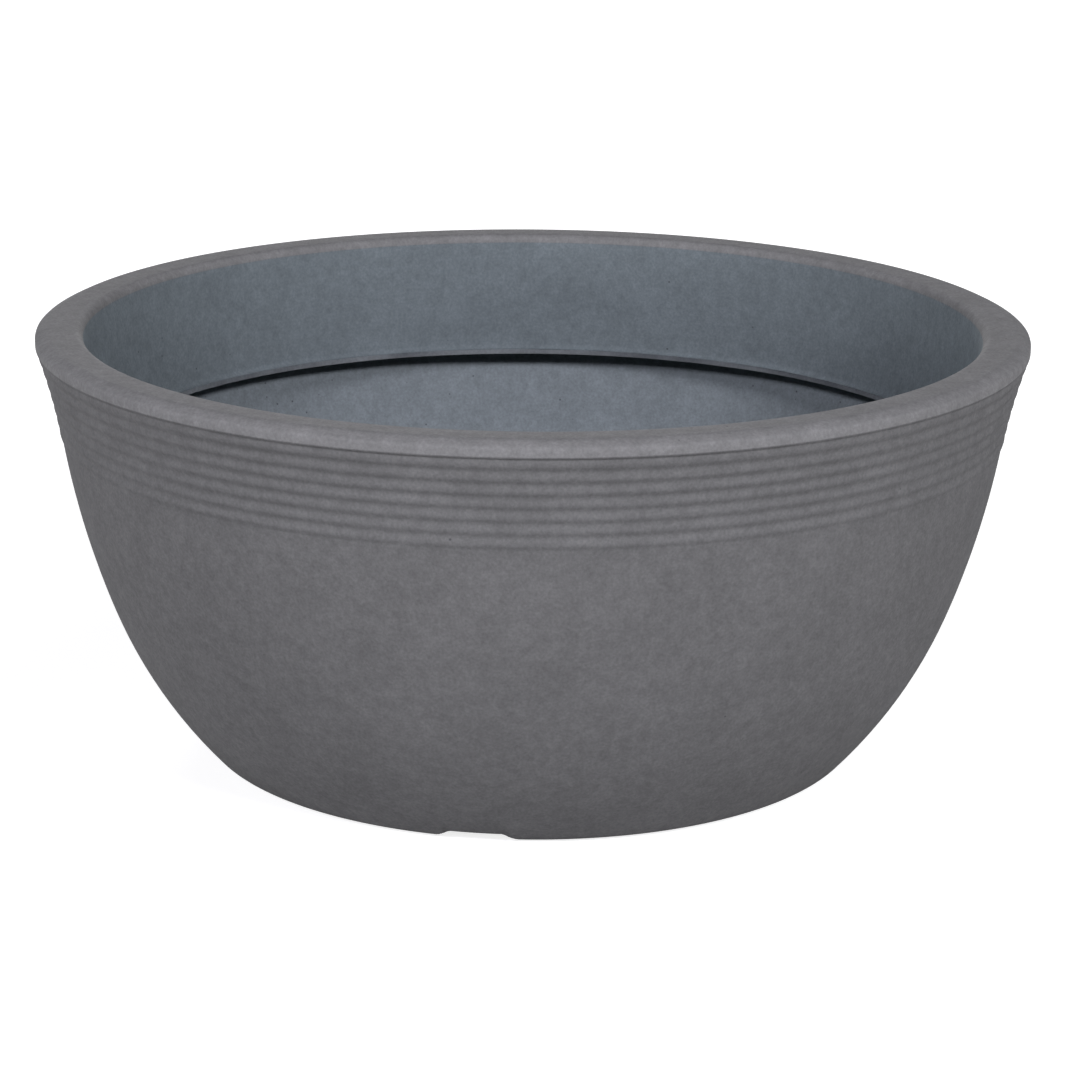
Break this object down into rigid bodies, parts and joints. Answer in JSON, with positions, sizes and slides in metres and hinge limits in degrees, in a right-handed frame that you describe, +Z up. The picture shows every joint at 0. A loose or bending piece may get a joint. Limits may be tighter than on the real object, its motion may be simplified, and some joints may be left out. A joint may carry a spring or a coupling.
{
  "type": "bowl planter",
  "caption": "Low round bowl planter with a thick hollow rim, a beaded band below it, an inner skirt with a trimmed lip, a notched foot ring and push-in drain plugs.",
  "frame": {"origin": "on the ground, under the middle of the bowl", "axes": "+Z up along the bowl's axis; one drain notch faces -Y"},
  "size_m": [0.56, 0.5599, 0.245],
  "materials": {
    "stone_grey_resin": "matte stone-look grey, fine speckle and small pits from the moulding",
    "plug_rubber": "matte black moulded rubber"
  },
  "bodies": {
    "shell": {"planter_shell": "stone_grey_resin"},
    "plug_1": {"drain_plug_1": "plug_rubber"},
    "plug_2": {"drain_plug_2": "plug_rubber"},
    "plug_3": {"drain_plug_3": "plug_rubber"}
  },
  "joints": [
    {"name": "plug_1_lift", "type": "slide", "parent": "shell", "child": "plug_1", "axis": [0, 0, 1], "range_m": [0, 0.25]},
    {"name": "plug_2_lift", "type": "slide", "parent": "shell", "child": "plug_2", "axis": [0, 0, 1], "range_m": [0, 0.25]},
    {"name": "plug_3_lift", "type": "slide", "parent": "shell", "child": "plug_3", "axis": [0, 0, 1], "range_m": [0, 0.25]}
  ]
}
